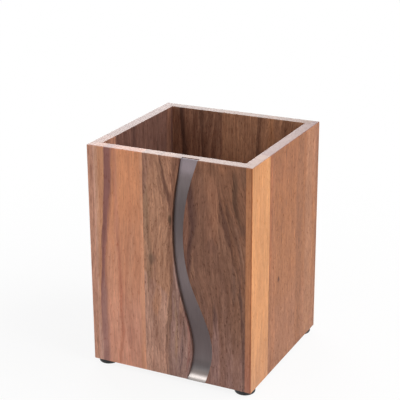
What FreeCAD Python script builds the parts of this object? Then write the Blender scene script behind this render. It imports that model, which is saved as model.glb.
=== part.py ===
import FreeCAD, Part
import os
import Sketcher
from FreeCAD import Placement, Rotation, Vector

# Square wooden caddy, open at the top, that holds cutlery upright on a table.
# Four walls are glued up from vertical staves. The side walls are rabbeted at both ends and the
# front and back walls sit in those rabbets, so a narrow lip of side wall shows on the front.
# A floor of two boards sits in a rabbet round the bottom, and four screwed rubber feet carry it.
# A wavy steel strip lies sunk in a groove down the front.
#
# Frame: origin on the table under the middle of the caddy, +X right, +Y to the back, +Z up.
# Millimetres.

SIZES = {
    # outside of the wood
    "body_width": 127.0,
    "body_depth": 122.5,
    "wall_height": 166.5,
    # the joinery
    "wall_thick": 8.5,
    "lip_thick": 4.7,          # wood left outside every rabbet
    "base_thick": 8.0,
    "edge_ease": 0.6,          # radius on the outside edges
    # stave widths, each wall's other stave takes what is left
    "front_left_stave": 39.3,
    "right_front_stave": 29.8,
    "left_front_stave": 25.9,
    "back_right_stave": 71.0,
    "base_front_board": 58.0,
    # the steel strip and its groove
    "groove_depth": 3.0,
    "strip_thick": 1.0,
    "strip_fit": 0.1,          # clearance to each side of the groove
    "toe_height": 6.5,         # the strip bends out from here down
    "toe_land": 1.4,           # short upright end below the bend
    "toe_setback": 0.15,       # how far the toe stays behind the face
    "crown_height": 17.0,      # the strip leans out over this length at the top
    "crown_setback": 0.3,
    # the rubber feet
    "foot_radius": 7.5,
    "foot_height": 3.5,
    "foot_round": 1.4,
    "foot_inset": 8.0,         # centre of a foot to each outside face
    "recess_radius": 3.6,
    "recess_depth": 1.9,
    "foot_web_bore": 1.7,      # radius of the hole for the screw
    # the foot screws
    "head_radius": 2.9,
    "head_height": 1.5,
    "shank_radius": 1.3,
    "screw_point": 2.0,
    "screw_cover": 1.6,        # wood left above the screw's point
    "slot_width": 0.8,
    "slot_length": 3.2,
    "slot_depth": 0.8,
    "pilot_spare": 0.5,        # pilot hole past the screw's point
}

# The wave's two edges cross these stations: share of the wall's height, then the left and the
# right edge in millimetres from the caddy's middle plane.
WAVE = {
    "foot": (0.0, 13.5, 27.8),
    "belly": (0.15, 17.7, 33.5),
    "rise": (0.30, 12.8, 27.6),
    "slope": (0.45, 6.5, 16.9),
    "waist": (0.66, 3.1, 11.4),
    "shoulder": (0.87, 5.8, 16.2),
    "crown": (1.0, 10.4, 23.2),
}

TINY = 1e-6
SPARE = 1.0                    # how far a cutting outline passes the wood


def make_sheet(doc):
    """The driving sizes, one cell each, then three cells for each station of the wave."""
    sheet = doc.addObject("Spreadsheet::Sheet", "Sizes")
    cells = dict(SIZES)
    for station, (share, left, right) in WAVE.items():
        cells["wave_%s_share" % station] = share
        cells["wave_%s_left" % station] = left
        cells["wave_%s_right" % station] = right
    for row, (alias, value) in enumerate(cells.items(), start=1):
        sheet.set("A%d" % row, alias)
        sheet.set("B%d" % row, str(value))
        sheet.setAlias("B%d" % row, alias)
    doc.recompute()
    return sheet


def formula(text):
    """Writes sheet names in a formula in full, so that lip_thick becomes Sizes.lip_thick."""
    return " ".join("Sizes." + word if word in SIZES else word for word in text.split())


def bind(item, path, text):
    item.setExpression(path, formula(text))


def place(item, across, back, up, turn=0.0):
    """Stands a piece at a place given by formulas, turned about the upright axis."""
    item.Placement = Placement(Vector(), Rotation(Vector(0, 0, 1), turn))
    bind(item, "Placement.Base.x", across)
    bind(item, "Placement.Base.y", back)
    bind(item, "Placement.Base.z", up)


def new_body(doc, label):
    body = doc.addObject("PartDesign::Body", label)
    body.Label = label
    return body


def new_sketch(body, name, role):
    """An empty sketch on one of the body's own origin planes."""
    sketch = body.newObject("Sketcher::SketchObject", body.Name + "_" + name)
    planes = [item for item in body.Origin.OriginFeatures if item.Role == role]
    sketch.AttachmentSupport = (planes[0], [""])
    sketch.MapMode = "FlatFace"
    return sketch


def bind_point(sketch, line, end, across, up):
    """Ties one end of a line to the sketch's origin by two formulas."""
    for kind, text in (("DistanceX", across), ("DistanceY", up)):
        value = float(sketch.evalExpression(formula(text)))
        index = sketch.addConstraint(Sketcher.Constraint(kind, -1, 1, line, end, value))
        bind(sketch, "Constraints[%d]" % index, text)


def polygon(sketch, corners):
    """A closed outline of straight lines through corners given as pairs of formulas."""
    points = []
    for across, up in corners:
        place_x = float(sketch.evalExpression(formula(across)))
        place_y = float(sketch.evalExpression(formula(up)))
        points.append(Vector(place_x, place_y, 0))
    first = sketch.GeometryCount
    for index, point in enumerate(points):
        following = points[(index + 1) % len(points)]
        sketch.addGeometry(Part.LineSegment(point, following), False)
    for index in range(len(points)):
        following = first + (index + 1) % len(points)
        sketch.addConstraint(Sketcher.Constraint("Coincident", first + index, 2, following, 1))
    for index, (across, up) in enumerate(corners):
        bind_point(sketch, first + index, 1, across, up)
    return sketch


def rectangle(sketch, left, low, right, high):
    return polygon(sketch, [(left, low), (right, low), (right, high), (left, high)])


def circle(sketch, across, up, radius):
    """A circle whose centre and radius are formulas."""
    size = float(sketch.evalExpression(formula(radius)))
    index = sketch.addGeometry(Part.Circle(Vector(), Vector(0, 0, 1), size), False)
    bind_point(sketch, index, 3, across, up)
    rule = sketch.addConstraint(Sketcher.Constraint("Radius", index, size))
    bind(sketch, "Constraints[%d]" % rule, radius)
    return sketch


def pad(body, sketch, length, both_ways=False):
    feature = body.newObject("PartDesign::Pad", sketch.Name + "_pad")
    feature.Profile = sketch
    feature.Midplane = both_ways
    bind(feature, "Length", length)
    sketch.Visibility = False
    body.Document.recompute()
    return feature


def pocket(body, sketch, length=None, flip=False):
    """Cuts a sketch to a depth, or right through both ways where no depth is given."""
    feature = body.newObject("PartDesign::Pocket", sketch.Name + "_cut")
    feature.Profile = sketch
    feature.Reversed = flip
    if length is None:
        feature.Type = "ThroughAll"
        feature.Midplane = True
    else:
        bind(feature, "Length", length)
    sketch.Visibility = False
    body.Document.recompute()
    return feature


def revolve(body, sketch):
    feature = body.newObject("PartDesign::Revolution", sketch.Name + "_turn")
    feature.Profile = sketch
    feature.ReferenceAxis = (sketch, ["V_Axis"])
    feature.Angle = 360.0
    sketch.Visibility = False
    body.Document.recompute()
    return feature


def round_edges(body, wanted, radius):
    """Rounds every edge of the body's last shape that passes the test."""
    base = body.Tip
    names = []
    for index, edge in enumerate(base.Shape.Edges, start=1):
        if wanted(edge):
            names.append("Edge%d" % index)
    feature = body.newObject("PartDesign::Fillet", body.Name + "_eased")
    feature.Base = (base, names)
    bind(feature, "Radius", radius)
    body.Document.recompute()


# --- walls -------------------------------------------------------------------------------------
# A stave's own frame: x along the wall, y from the outside face inwards, z up from the bottom.

def make_stave(doc, sheet, label, width, rabbet_at=None):
    """One stave, rabbeted along its bottom and, at a corner of a side wall, down one end."""
    body = new_body(doc, label)
    blank = rectangle(new_sketch(body, "outline", "XY_Plane"), "0", "0", width, "wall_thick")
    pad(body, blank, "wall_height")
    seat = new_sketch(body, "floor_seat", "YZ_Plane")
    pocket(body, rectangle(seat, "lip_thick", "0", "wall_thick", "base_thick"))
    if rabbet_at is not None:
        corner = new_sketch(body, "corner_seat", "XY_Plane")
        spans = {"start": ("0", "wall_thick"), "end": ("%s - wall_thick" % width, width)}
        near, far = spans[rabbet_at]
        pocket(body, rectangle(corner, near, "lip_thick", far, "wall_thick"))
    ease_stave(body, sheet, rabbet_at)
    return body


def ease_stave(body, sheet, rabbet_at):
    """Rounds the outside edges: the face's top and bottom, and all round a corner stave's end."""
    box = body.Tip.Shape.BoundBox
    end = {None: None, "start": box.XMin, "end": box.XMax}[rabbet_at]

    def on_face(point):
        return abs(point.y) < TINY

    def on_end(point):
        return end is not None and abs(point.x - end) < TINY

    def on_level(point):
        return min(abs(point.z), abs(point.z - sheet.wall_height)) < TINY

    def wanted(edge):
        points = [vertex.Point for vertex in edge.Vertexes]
        face = all(on_face(point) for point in points)
        lip = all(on_end(point) for point in points)
        level = abs(points[0].z - points[-1].z) < TINY and all(on_level(p) for p in points)
        return (face and lip) or ((face or lip) and level)

    round_edges(body, wanted, "edge_ease")


def make_walls(doc, sheet):
    """The eight staves of the four walls, each stood in its place."""
    span = "( body_width - 2 * lip_thick )"
    pieces = []

    left = make_stave(doc, sheet, "front_stave_left", "front_left_stave")
    place(left, "lip_thick - body_width / 2", "- body_depth / 2", "foot_height")
    rest = "%s - front_left_stave" % span
    right = make_stave(doc, sheet, "front_stave_right", rest)
    place(right, "lip_thick + front_left_stave - body_width / 2", "- body_depth / 2",
          "foot_height")
    cut_wave_groove(right, sheet)
    pieces += [left, right]

    near = make_stave(doc, sheet, "right_stave_front", "right_front_stave", "start")
    place(near, "body_width / 2", "- body_depth / 2", "foot_height", 90)
    far = make_stave(doc, sheet, "right_stave_rear", "body_depth - right_front_stave", "end")
    place(far, "body_width / 2", "right_front_stave - body_depth / 2", "foot_height", 90)
    pieces += [near, far]

    right = make_stave(doc, sheet, "back_stave_right", "back_right_stave")
    place(right, "body_width / 2 - lip_thick", "body_depth / 2", "foot_height", 180)
    left = make_stave(doc, sheet, "back_stave_left", "%s - back_right_stave" % span)
    place(left, "body_width / 2 - lip_thick - back_right_stave", "body_depth / 2",
          "foot_height", 180)
    pieces += [right, left]

    far = make_stave(doc, sheet, "left_stave_rear", "body_depth - left_front_stave", "start")
    place(far, "- body_width / 2", "body_depth / 2", "foot_height", -90)
    near = make_stave(doc, sheet, "left_stave_front", "left_front_stave", "end")
    place(near, "- body_width / 2", "left_front_stave - body_depth / 2", "foot_height", -90)
    pieces += [far, near]
    return pieces


# --- the steel strip and its groove ------------------------------------------------------------

def wave_outline(sketch, sheet, shift, inset):
    """Adds the closed wave: two smooth edges through the stations, joined at top and bottom."""
    curves = []
    for side, step in (("left", inset), ("right", -inset)):
        points = []
        for station in WAVE:
            across = getattr(sheet, "wave_%s_%s" % (station, side)) + shift + step
            height = getattr(sheet, "wave_%s_share" % station) * sheet.wall_height
            points.append(Vector(across, height, 0))
        curve = Part.BSplineCurve()
        curve.interpolate(points)
        curves.append((curve, points[0], points[-1]))
    (left, left_low, left_high), (right, right_low, right_high) = curves
    first = sketch.GeometryCount
    sketch.addGeometry(left, False)
    sketch.addGeometry(Part.LineSegment(left_high, right_high), False)
    sketch.addGeometry(right, False)
    sketch.addGeometry(Part.LineSegment(right_low, left_low), False)
    for index in range(4):
        sketch.addConstraint(Sketcher.Constraint("Block", first + index))
    return sketch


def cut_wave_groove(body, sheet):
    """The groove for the strip, cut into the outside face and open at top and bottom."""
    start = sheet.lip_thick + sheet.front_left_stave - sheet.body_width / 2
    sketch = new_sketch(body, "wave", "XZ_Plane")
    wave_outline(sketch, sheet, -start, 0.0)
    pocket(body, sketch, "groove_depth")


def make_strip(doc, sheet):
    """The strip: flat against the groove's floor, leaning out at the top and kicked out at the toe."""
    body = new_body(doc, "wave_strip")
    floor_y = "groove_depth - strip_thick"
    top = "wall_height"
    lean = "wall_height - crown_height"
    front = [("toe_setback", "0"), ("toe_setback", "toe_land"), (floor_y, "toe_height"),
             (floor_y, lean), ("crown_setback", top)]
    behind = [("%s + strip_thick" % across, up) for across, up in reversed(front)]
    profile = polygon(new_sketch(body, "profile", "YZ_Plane"), front + behind)
    pad(body, profile, "2 * body_width", both_ways=True)
    waste = new_sketch(body, "waste", "XZ_Plane")
    reach = "( body_width + %g )" % SPARE
    rectangle(waste, "- 1 * %s" % reach, "- %g" % SPARE, reach, "wall_height + %g" % SPARE)
    wave_outline(waste, sheet, 0.0, sheet.strip_fit)
    pocket(body, waste)
    place(body, "0", "- body_depth / 2", "foot_height")
    return body


# --- floor, feet and screws --------------------------------------------------------------------

CORNERS = {
    "front_left": (-1, -1),
    "front_right": (1, -1),
    "rear_left": (-1, 1),
    "rear_right": (1, 1),
}


def foot_place(sides):
    """Formulas for the centre of the foot at one corner."""
    across = "%d * ( body_width / 2 - foot_inset )" % sides[0]
    back = "%d * ( body_depth / 2 - foot_inset )" % sides[1]
    return across, back


def make_board(doc, label, low, high, row):
    """One board of the floor, with a pilot hole over each foot of its row, front or back."""
    body = new_body(doc, label)
    half = "( body_width / 2 - lip_thick )"
    outline = new_sketch(body, "outline", "XY_Plane")
    pad(body, rectangle(outline, "- 1 * %s" % half, low, half, high), "base_thick")
    pilots = new_sketch(body, "pilots", "XY_Plane")
    for sides in CORNERS.values():
        if sides[1] == row:
            across, back = foot_place(sides)
            circle(pilots, across, back, "shank_radius")
    pocket(body, pilots, "base_thick - screw_cover + pilot_spare", flip=True)
    place(body, "0", "0", "foot_height")
    return body


def make_floor(doc):
    """The two boards of the floor, lying side by side in the walls' bottom rabbet."""
    edge = "body_depth / 2 - lip_thick"
    joint = "lip_thick + base_front_board - body_depth / 2"
    front = make_board(doc, "floor_board_front", "- 1 * ( %s )" % edge, joint, -1)
    rear = make_board(doc, "floor_board_rear", joint, edge, 1)
    return [front, rear]


def make_foot(doc, sheet, corner):
    """A rubber foot: a disc with a rounded lower edge and a sunk seat for its screw."""
    body = new_body(doc, "foot_" + corner)
    section = polygon(new_sketch(body, "section", "XZ_Plane"), [
        ("recess_radius", "0"),
        ("foot_radius", "0"),
        ("foot_radius", "foot_height"),
        ("foot_web_bore", "foot_height"),
        ("foot_web_bore", "recess_depth"),
        ("recess_radius", "recess_depth"),
    ])
    revolve(body, section)

    def on_lower_rim(edge):
        points = [vertex.Point for vertex in edge.Vertexes]
        return all(abs(p.z) < TINY and abs(p.Length - sheet.foot_radius) < TINY for p in points)

    round_edges(body, on_lower_rim, "foot_round")
    across, back = foot_place(CORNERS[corner])
    place(body, across, back, "0")
    return body


def make_screw(doc, corner):
    """A pan-head wood screw, head down in the foot's recess, with a cross slot."""
    body = new_body(doc, "screw_" + corner)
    section = polygon(new_sketch(body, "section", "XZ_Plane"), [
        ("0", "recess_depth - head_height"),
        ("head_radius", "recess_depth - head_height"),
        ("head_radius", "recess_depth"),
        ("shank_radius", "recess_depth"),
        ("shank_radius", "foot_height + base_thick - screw_cover - screw_point"),
        ("0", "foot_height + base_thick - screw_cover"),
    ])
    revolve(body, section)
    slot_top = "recess_depth - head_height + slot_depth"
    sizes = (("slot_length", "XZ_Plane"), ("slot_length", "YZ_Plane"))
    for number, (length, plane) in enumerate(sizes):
        slot = new_sketch(body, "slot%d" % number, plane)
        half = "%s / 2" % length
        rectangle(slot, "- 1 * %s" % half, "0", half, slot_top)
        cut = body.newObject("PartDesign::Pocket", slot.Name + "_cut")
        cut.Profile = slot
        cut.Midplane = True
        bind(cut, "Length", "slot_width")
        doc.recompute()
    across, back = foot_place(CORNERS[corner])
    place(body, across, back, "0")
    return body


def make_feet(doc, sheet):
    """Four feet, and their four screws as one group."""
    feet = [make_foot(doc, sheet, corner) for corner in CORNERS]
    screws = doc.addObject("Part::Compound", "foot_screws")
    screws.Label = "foot_screws"
    screws.Links = [make_screw(doc, corner) for corner in CORNERS]
    screws.Placement = Placement()
    return feet + [screws]


# --- checks and files --------------------------------------------------------------------------

def verify(doc, pieces):
    """Stops on any failed object, any empty or broken shape, and any cut that removes nothing."""
    for item in doc.Objects:
        if "Invalid" in item.State or "Error" in item.State:
            raise RuntimeError("%s failed: %s" % (item.Name, item.State))
        if item.TypeId == "PartDesign::Pocket":
            removed = item.BaseFeature.Shape.Volume - item.Shape.Volume
            if removed < TINY:
                raise RuntimeError("%s cuts nothing" % item.Name)
    for piece in pieces:
        if piece.Shape.isNull() or not piece.Shape.isValid():
            raise RuntimeError("%s has no sound shape" % piece.Label)


def export(pieces):
    os.makedirs("parts", exist_ok=True)
    for piece in pieces:
        piece.Shape.exportStep(os.path.join("parts", piece.Label + ".step"))
        box = piece.Shape.BoundBox
        print("%-20s %d solid(s) %9.1f mm3  %6.1f x %6.1f x %6.1f" % (
            piece.Label, len(piece.Shape.Solids), piece.Shape.Volume,
            box.XLength, box.YLength, box.ZLength))


def build():
    doc = FreeCAD.newDocument("caddy")
    sheet = make_sheet(doc)
    pieces = make_walls(doc, sheet)
    pieces += make_floor(doc)
    pieces.append(make_strip(doc, sheet))
    pieces += make_feet(doc, sheet)
    doc.recompute()
    verify(doc, pieces)
    export(pieces)


build()
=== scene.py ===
import math
from dataclasses import dataclass
from functools import partial

import bmesh
import bpy
import numpy as np
from bpy.props import FloatProperty, FloatVectorProperty, IntProperty, PointerProperty
from mathutils import Matrix, Vector


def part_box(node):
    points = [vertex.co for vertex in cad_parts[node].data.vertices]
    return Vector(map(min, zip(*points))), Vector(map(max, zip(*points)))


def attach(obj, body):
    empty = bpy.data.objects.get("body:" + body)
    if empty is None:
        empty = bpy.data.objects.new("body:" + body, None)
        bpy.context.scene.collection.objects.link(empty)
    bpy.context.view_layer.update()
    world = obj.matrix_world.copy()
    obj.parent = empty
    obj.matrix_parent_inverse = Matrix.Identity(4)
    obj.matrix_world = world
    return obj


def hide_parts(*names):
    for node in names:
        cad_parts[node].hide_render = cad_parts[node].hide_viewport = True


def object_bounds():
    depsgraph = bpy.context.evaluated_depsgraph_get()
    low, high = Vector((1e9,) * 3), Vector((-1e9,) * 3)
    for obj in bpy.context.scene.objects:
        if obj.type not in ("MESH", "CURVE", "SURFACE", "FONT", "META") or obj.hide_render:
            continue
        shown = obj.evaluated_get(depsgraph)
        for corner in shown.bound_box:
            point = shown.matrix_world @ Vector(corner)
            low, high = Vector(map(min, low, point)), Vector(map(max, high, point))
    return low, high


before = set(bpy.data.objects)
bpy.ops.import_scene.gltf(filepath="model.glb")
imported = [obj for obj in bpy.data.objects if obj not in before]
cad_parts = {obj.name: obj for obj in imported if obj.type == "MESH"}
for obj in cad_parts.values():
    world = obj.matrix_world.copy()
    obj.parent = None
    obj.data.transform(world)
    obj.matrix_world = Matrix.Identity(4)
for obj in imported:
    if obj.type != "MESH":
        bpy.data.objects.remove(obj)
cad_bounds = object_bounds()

bl_info = {
    "name": "Wave Strip Cutlery Caddy",
    "version": (1, 0, 0),
    "blender": (4, 5, 0),
    "location": "3D View > Sidebar > Caddy",
    "description": "Builds a stave-walled wooden caddy with a wavy steel strip and rubber feet",
    "category": "Add Mesh",
}

MM = 0.001
BODY = "root"

# Each wall: how far it is turned from the front wall's place, and the end at which each of its
# staves carries the corner rabbet.
WALLS = {
    "front": (0.0, {"front_stave_left": None, "front_stave_right": None}),
    "right": (90.0, {"right_stave_front": "start", "right_stave_rear": "end"}),
    "back": (180.0, {"back_stave_right": None, "back_stave_left": None}),
    "left": (-90.0, {"left_stave_rear": "start", "left_stave_front": "end"}),
}
FLOOR_BOARDS = ("floor_board_front", "floor_board_rear")
FEET = ("front_left", "front_right", "rear_left", "rear_right")

# Joinery, here and below in millimetres.
WALL_THICK = 8.5
LIP_THICK = 4.7
BASE_THICK = 8.0
LINE_REACH = 70.0              # how far from the middle a line on a wall may lie
GROOVE_DEPTH = 3.0
GROOVE_EASE = 0.15
SUPPORT = 0.25                 # flat kept beside every rounded edge
WELD = 1e-4                    # points closer than this become one
SLIVER = 1e-5                  # edges shorter than this are dropped
ARC_STEPS = 5
STAVE_STEP = 6.0               # height of a plain stave's mesh rows
WAVE_STEP = 2.0                # height of the grooved stave's mesh rows

# The wave's two edges: share of the wall's height, left and right edge from the middle plane.
WAVE = [
    (0.0, 13.5, 27.8),
    (0.15, 17.7, 33.5),
    (0.30, 12.8, 27.6),
    (0.45, 6.5, 16.9),
    (0.66, 3.1, 11.4),
    (0.87, 5.8, 16.2),
    (1.0, 10.4, 23.2),
]

# The strip. The toe's bend: share of its height, share of the way from the face to the bed.
STRIP_THICK = 1.0
STRIP_FIT = 0.1
STRIP_ROWS = 150
STRIP_CORNER_STEPS = 3
TOE_SETBACK = 0.15
TOE_ROWS = 24
TOE_BEND = [(0.0, 0.0), (0.10, 0.04), (0.26, 0.25), (0.45, 0.61), (0.64, 0.85), (0.82, 0.96),
            (1.0, 1.0)]
CROWN_SETBACK = 0.3
CROWN_HEIGHT = 17.0
CROWN_CURVE = 1.3

# Painted reflection: how bright the strip's colour is made at each height, standing in for the
# reflections along it.
STEEL_PAINTED_REFLECTION = [(0, 0.75), (1.6, 1.3), (3.5, 1.75), (5.5, 1.5), (8.0, 1.03), (11.5, 0.87),
               (15, 0.95), (20, 1.2), (40, 1.05), (60, 1.2), (85, 1.45), (100, 1.25),
               (125, 0.94), (140, 1.08), (148, 1.32), (155, 1.5), (160, 1.58), (166.5, 1.48)]

# Feet. A moulded ring's section is out from its middle and up, the lip's is out and up.
FOOT_RADIUS = 7.5
FOOT_HEIGHT = 3.5
FOOT_ROUND = 1.4
FOOT_ROUND_STEPS = 6
FOOT_SEGMENTS = 64
RING_MARGIN = 0.5
RING_SECTION = [(-0.30, 0.0), (-0.18, 0.22), (0.18, 0.22), (0.30, 0.0)]
LIP_SECTION = [(0.0, 2.9), (-0.08, 3.05), (-0.08, 3.3), (-0.2, 3.5)]
RECESS_RADIUS = 3.6
RECESS_DEPTH = 1.9
RECESS_MOUTH = 0.25
RECESS_FLOOR_EASE = 0.2
WEB_BORE = 1.7

# Screws. A thread ring's section is out and up, and it narrows over the point's length. The
# cross is one arm's half length and half width at the face, and its depth.
HEAD_RADIUS = 2.9
HEAD_HEIGHT = 1.5
HEAD_STEPS = 7
HEAD_FULLNESS = 0.8
DOME_HEIGHT = 0.75
SEAT_EASE = 0.1
SHANK_RADIUS = 1.3
SHANK_TOP = 9.9
POINT_LENGTH = 2.0
POINT_WIDTH = 0.25
THREAD_PITCH = 0.9
THREAD_END = 9.6
THREAD_SECTION = [(0.95, 0.1), (0.95, 0.405), (SHANK_RADIUS, 0.63)]
SCREW_SEGMENTS = 40
CROSS_LONG = 1.6
CROSS_WIDE = 0.36
CROSS_DEEP = 0.85
CROSS_TAPER = 0.55
CROSS_CLEAR = 0.3              # how far the cutter stands out of the head


# --- the caddy's box, from the frame ---

def node_box(node):
    """A node's lowest and highest corners, in millimetres."""
    low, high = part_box(node)
    return low / MM, high / MM


BOX_HIGH = cad_bounds[1] / MM
WOOD_FOOT = node_box("front_stave_left")[0].z
WALL_HEIGHT = BOX_HIGH.z - WOOD_FOOT
HALF_WIDTH = BOX_HIGH.x
HALF_DEPTH = BOX_HIGH.y


def shade(red, green, blue):
    """A screen colour, each part 0 to 255, as the linear colour that a shader takes."""
    def straight(part):
        part = part / 255.0
        return part / 12.92 if part <= 0.04045 else ((part + 0.055) / 1.055) ** 2.4
    return (straight(red), straight(green), straight(blue))


# --- settings ---

def colour(name, description, default):
    return FloatVectorProperty(name=name, description=description, default=default,
                               subtype="COLOR", min=0.0, max=1.0)


def ground(name, *parts):
    return colour(name, "Ground colour of its wood", shade(*parts))


def length(name, description, millimetres):
    return FloatProperty(name=name, description=description, default=millimetres * MM,
                         min=0.0, unit="LENGTH", precision=5)


def amount(name, description, default, high=2.0):
    return FloatProperty(name=name, description=description, default=default, min=0.0,
                         max=high, subtype="FACTOR")


def power(name, description, watts):
    return FloatProperty(name=name, description=description, default=watts, min=0.0,
                         unit="POWER")


class CaddyWood(bpy.types.PropertyGroup):
    """Ground colours of the staves and boards, and how strongly their grain shows."""

    front_stave_left: ground("Front left stave", 216, 150, 116)
    front_stave_right: ground("Front right stave", 145, 104, 83)
    right_stave_front: ground("Right front stave", 202, 141, 91)
    right_stave_rear: ground("Right rear stave", 155, 103, 73)
    back_stave_right: ground("Back right stave", 178, 131, 102)
    back_stave_left: ground("Back left stave", 146, 106, 85)
    left_stave_rear: ground("Left rear stave", 112, 80, 70)
    left_stave_front: ground("Left front stave", 202, 148, 125)
    floor_board_front: ground("Front floor board", 164, 116, 86)
    floor_board_rear: ground("Rear floor board", 140, 98, 74)
    grain: amount("Grain", "Contrast of the growth rings and fibres", 1.0)
    pores: amount("Pores", "Darkness of the open pores", 1.0)
    relief: amount("Relief", "Height of the fibres and pores", 1.0)


class CaddyShape(bpy.types.PropertyGroup):
    """Small radii of the wood, the strip and the feet."""

    edge_ease: length("Edge ease", "Radius along the outside edges", 0.6)
    rim_ease: length("Rim ease", "Radius along the rim's inner edge", 0.35)
    seam: length("Seam", "Width of the hairline at each glued joint", 0.07)
    toe_height: length("Toe height", "Height over which the strip bends out", 8.8)
    strip_round: length("Strip edge", "Radius along the strip's edges", 0.15)
    foot_rings: IntProperty(name="Foot rings", default=2, min=0, max=4,
                            description="Moulded rings under each foot")


class CaddyFinish(bpy.types.PropertyGroup):
    """Colours of the metal, the rubber and the stage."""

    steel: colour("Steel", "Colour of the wavy strip", (0.425, 0.405, 0.405))
    steel_roughness: amount("Steel roughness", "How matt the brushed strip is", 0.34, 1.0)
    rubber: colour("Rubber", "Colour of the feet", (0.018, 0.018, 0.019))
    zinc: colour("Zinc", "Colour of the foot screws", (0.58, 0.58, 0.56))
    floor: colour("Floor", "Colour of the floor it stands on", (0.84, 0.84, 0.84))
    key_lamp: power("Key lamp", "Power of the large lamp at the right", 18.0)
    back_lamp: power("Back lamp", "Power of the lamp behind", 7.0)
    fill_lamp: power("Fill lamp", "Power of the lamp in front", 2.9)
    sky: amount("Sky", "Strength of the light from all round", 0.42)


GROUPS = {"caddy_wood": CaddyWood, "caddy_shape": CaddyShape, "caddy_finish": CaddyFinish}


def settings_of(group):
    """The scene's wood, shape or finish settings."""
    return getattr(bpy.context.scene, "caddy_" + group)


# --- material nodes ---

class Value:
    """What a node gives out. Sums with it make the nodes that work them out."""

    def __init__(self, graph, socket):
        self.graph = graph
        self.socket = socket

    def __add__(self, other):
        return self.graph.math("ADD", self, other)

    def __sub__(self, other):
        return self.graph.math("SUBTRACT", self, other)

    def __rsub__(self, other):
        return self.graph.math("SUBTRACT", other, self)

    def __mul__(self, other):
        return self.graph.math("MULTIPLY", self, other)

    def __truediv__(self, other):
        return self * (1.0 / other)

    def __abs__(self):
        return self.graph.math("ABSOLUTE", self)

    def fit(self, low, high, out_low=0.0, out_high=1.0, kind="SMOOTHSTEP"):
        """Brings low..high onto out_low..out_high, held at the ends."""
        inputs = (self, low, high, out_low, out_high)
        return self.graph.add("ShaderNodeMapRange", inputs, interpolation_type=kind)

    def tinted(self, tint, factor=1.0):
        """This colour multiplied by tint, as far as factor says."""
        return self.graph.blend(factor, self, tint, "MULTIPLY")

    def path(self, points, low=-LINE_REACH, high=LINE_REACH):
        """A smooth line through (height, place) points, read at a share of the wall's height."""
        made = self.graph.add("ShaderNodeFloatCurve", {1: self})
        mapping = made.socket.node.mapping
        curve = mapping.curves[0]
        while len(curve.points) < len(points):
            curve.points.new(0.5, 0.5)
        for point, (up, across) in zip(curve.points, sorted(points)):
            point.location = (up / WALL_HEIGHT, (across - low) / (high - low))
            point.handle_type = "AUTO_CLAMPED"
        mapping.update()
        return self.graph.math("MULTIPLY_ADD", made, high - low, low)


class Graph:
    """The nodes of a material or a world, with a short call for each kind."""

    def __init__(self, owner):
        self.owner = owner
        owner.use_nodes = True
        self.tree = owner.node_tree
        self.tree.nodes.clear()

    def add(self, kind, inputs=(), output=0, **settings):
        """What a new node gives out, once its settings and inputs are set or linked."""
        made = self.tree.nodes.new(kind)
        for key, value in settings.items():
            setattr(made, key, value)
        for key, value in inputs.items() if isinstance(inputs, dict) else enumerate(inputs):
            if isinstance(value, Value):
                self.tree.links.new(value.socket, made.inputs[key])
            else:
                made.inputs[key].default_value = value
        return Value(self, made.outputs[output])

    def math(self, operation, *inputs):
        return self.add("ShaderNodeMath", inputs, operation=operation)

    def least(self, first, second):
        return self.math("MINIMUM", first, second)

    def most(self, first, second):
        return self.math("MAXIMUM", first, second)

    def hypot(self, first, second):
        return self.math("SQRT", first * first + second * second)

    def noise(self, place, detail=2.0, rough=0.5, scale=1.0):
        inputs = {"Vector": self.add("ShaderNodeCombineXYZ", place), "Scale": scale,
                  "Detail": detail, "Roughness": rough}
        return self.add("ShaderNodeTexNoise", inputs)

    def blend(self, factor, first, second, kind="MIX"):
        """The first colour on its way to the second, as far as factor says."""
        inputs = {0: factor, 6: as_colour(first), 7: as_colour(second)}
        return self.add("ShaderNodeMix", inputs, 2, data_type="RGBA", blend_type=kind,
                        clamp_factor=True)

    def split(self, kind, output):
        """The three parts of a vector that a node gives out."""
        whole = self.add(kind, output=output)
        return [self.add("ShaderNodeSeparateXYZ", (whole,), axis) for axis in range(3)]

    def places(self):
        """x, y and z in millimetres."""
        return [part / MM for part in self.split("ShaderNodeTexCoord", "Object")]

    def facing(self):
        """How far a face looks along x, y and z, each -1 to 1."""
        return self.split("ShaderNodeNewGeometry", "True Normal")

    def surface(self, tone, rough, metal=0.0, specular=0.5, bump=()):
        """The usual shader. bump is a height, its strength and its distance in metres."""
        inputs = {"Base Color": as_colour(tone), "Roughness": rough, "Metallic": metal,
                  "Specular IOR Level": specular}
        if bump:
            relief = dict(zip(("Height", "Strength", "Distance"), bump))
            inputs["Normal"] = self.add("ShaderNodeBump", relief)
        return self.add("ShaderNodeBsdfPrincipled", inputs)

    def finish(self, shader, end="ShaderNodeOutputMaterial"):
        self.tree.links.new(shader.socket, self.tree.nodes.new(end).inputs[0])
        return self.owner


def new_graph(name):
    """An empty graph for a new material."""
    return Graph(bpy.data.materials.new(name))


def as_colour(value):
    """Adds the fourth part that a colour socket wants."""
    return value if isinstance(value, Value) else (*value, 1.0)


def groove_edge(share):
    """Where the groove's left edge lies."""
    return share.path([(part * WALL_HEIGHT, left) for part, left, _ in WAVE])


# --- wood ---

@dataclass
class Wood:
    """One stave's or board's wood: how strongly each texture shows, and the lines its grain
    follows. The figure is laid over the ground colour in order."""

    seed: float
    flow: list
    figure: list
    axis: str = "x"                        # the way its width runs, or "floor" for a board
    length: float = 0.7                    # how long its fibres are
    clouds: float = 1.0
    rings: float = 0.8
    fibre: float = 1.0
    pore: float = 0.9
    fleck: float = 0.8
    curl: float = 0.5                      # how far the grain sways between its lines
    rim: tuple = (1.0, 1.0, 1.0)           # tint of the end grain, partly a painted reflection
    vessels: tuple = (0.46, 0.36, 0.32)    # tint of the pores


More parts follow.
